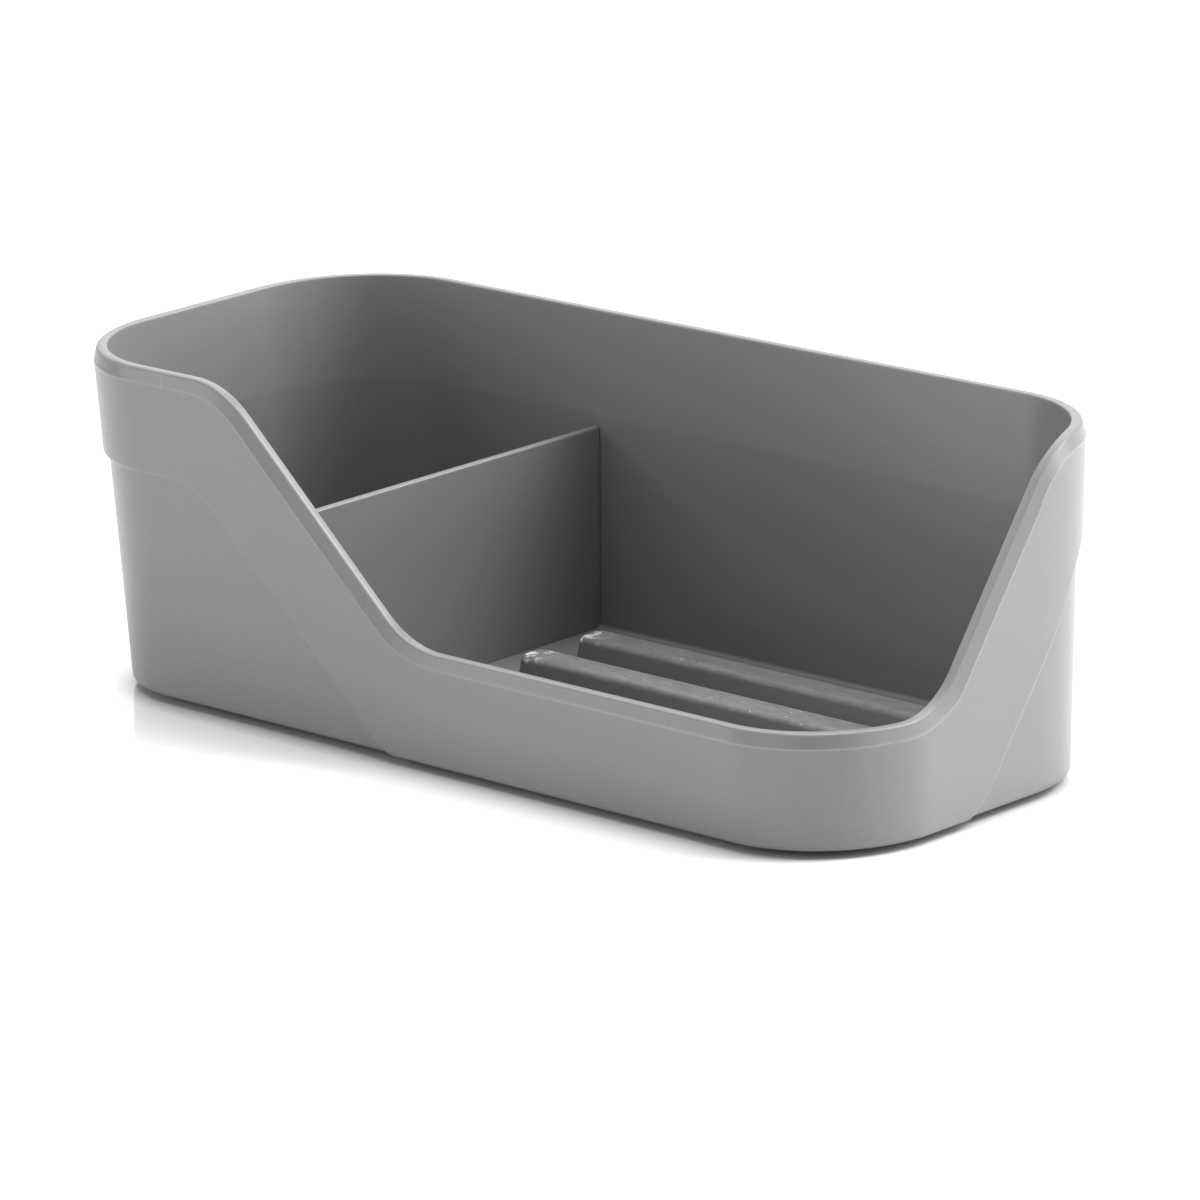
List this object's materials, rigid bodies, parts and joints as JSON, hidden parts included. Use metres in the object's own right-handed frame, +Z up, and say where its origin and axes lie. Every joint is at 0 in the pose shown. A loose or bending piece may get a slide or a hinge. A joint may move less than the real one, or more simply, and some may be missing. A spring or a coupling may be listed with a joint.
{
  "type": "sink caddy",
  "caption": "Open sink caddy: drafted oblong tub with rounded corners, rim sweeping down to a low front corner, a lift-out divider, floor ribs and foot pads under the base.",
  "frame": {"origin": "on the counter under the middle of the tub", "axes": "+X along the tub from the tall closed end to the low end, +Y from the low front to the tall back, +Z up"},
  "size_m": [0.2593, 0.1096, 0.085],
  "materials": {
    "caddy_plastic": "fine satin moulded polypropylene, mid grey",
    "divider_plastic": "fine satin moulded polypropylene, mid grey",
    "pad_rubber": "soft matte rubber"
  },
  "bodies": {
    "tub": {"tub": "caddy_plastic", "foot_pad_left_front": "pad_rubber", "foot_pad_left_back": "pad_rubber", "foot_pad_right_front": "pad_rubber", "foot_pad_right_back": "pad_rubber"},
    "divider": {"divider": "divider_plastic"}
  },
  "joints": [
    {"name": "divider_lift", "type": "slide", "parent": "tub", "child": "divider", "axis": [0, 0, 1], "range_m": [0, 0.09]}
  ]
}
